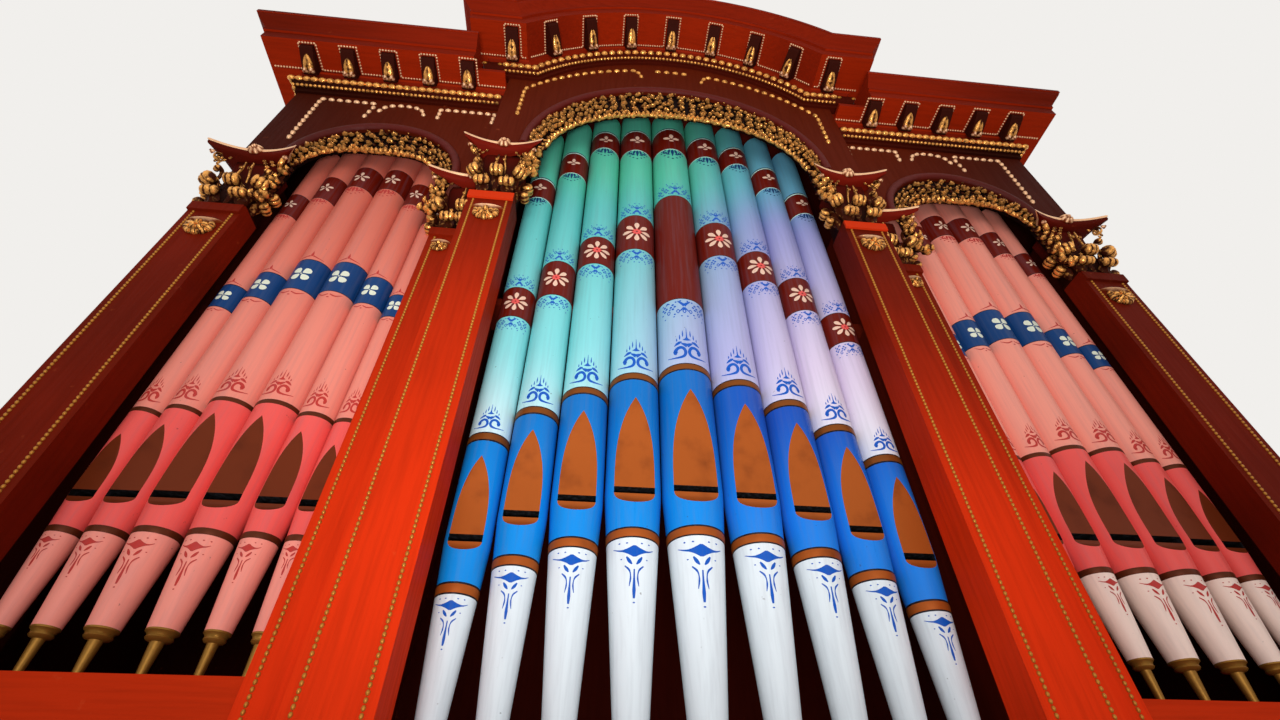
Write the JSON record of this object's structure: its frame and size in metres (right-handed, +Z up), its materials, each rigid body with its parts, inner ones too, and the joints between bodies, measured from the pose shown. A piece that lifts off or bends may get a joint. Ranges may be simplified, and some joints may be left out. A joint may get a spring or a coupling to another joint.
{
  "type": "pipe organ case with painted display pipes",
  "caption": "Free-standing church pipe organ: red arched wooden case with gilded carving and three flats of painted metal pipes.",
  "frame": {"origin": "middle of the base, on the floor", "axes": "+X to the right seen from the front, +Y towards the back of the case, +Z up"},
  "size_m": [5.098, 1.736, 6.3448],
  "materials": {
    "red_wood": "red stained wood, satin varnish",
    "dark_wood": "dark stained wood, plain",
    "gilding": "gold leaf on carved wood",
    "centre_pipe_paint": "painted pipe metal with blue stencil work",
    "side_pipe_paint": "painted pipe metal with pink ground"
  },
  "bodies": {
    "root": {"plinth": "red_wood", "pedestals": "red_wood", "lower_front_left": "red_wood", "lower_front_centre": "red_wood", "lower_front_right": "red_wood", "side_wall_left": "red_wood", "side_wall_right": "red_wood", "back_wall": "dark_wood", "impost": "red_wood", "chest_floor": "dark_wood", "side_chest_left": "red_wood", "side_chest_right": "red_wood", "pipe_racks": "dark_wood", "inner_pilaster_left": "red_wood", "inner_pilaster_right": "red_wood", "half_pilaster_left": "red_wood", "half_pilaster_right": "red_wood", "outer_pilaster_left": "red_wood", "outer_pilaster_right": "red_wood", "inner_capital_left": "gilding", "inner_capital_right": "gilding", "half_capital_left": "gilding", "half_capital_right": "gilding", "outer_capital_left": "gilding", "outer_capital_right": "gilding", "pilaster_drops": "gilding", "spandrel_left": "red_wood", "spandrel_centre": "red_wood", "spandrel_right": "red_wood", "archivolts": "red_wood", "bead_course_left": "gilding", "bead_course_centre": "gilding", "bead_course_right": "gilding", "modillions_left": "gilding", "modillions_centre": "gilding", "modillions_right": "gilding", "cornice_left": "red_wood", "cornice_centre": "red_wood", "cornice_right": "red_wood", "tower_sides": "dark_wood", "roof": "dark_wood", "pipe_shade_left": "gilding", "pipe_shade_centre": "gilding", "pipe_shade_right": "gilding", "left_flat_pipes": "side_pipe_paint", "centre_flat_pipes": "centre_pipe_paint", "right_flat_pipes": "side_pipe_paint"}
  },
  "joints": []
}
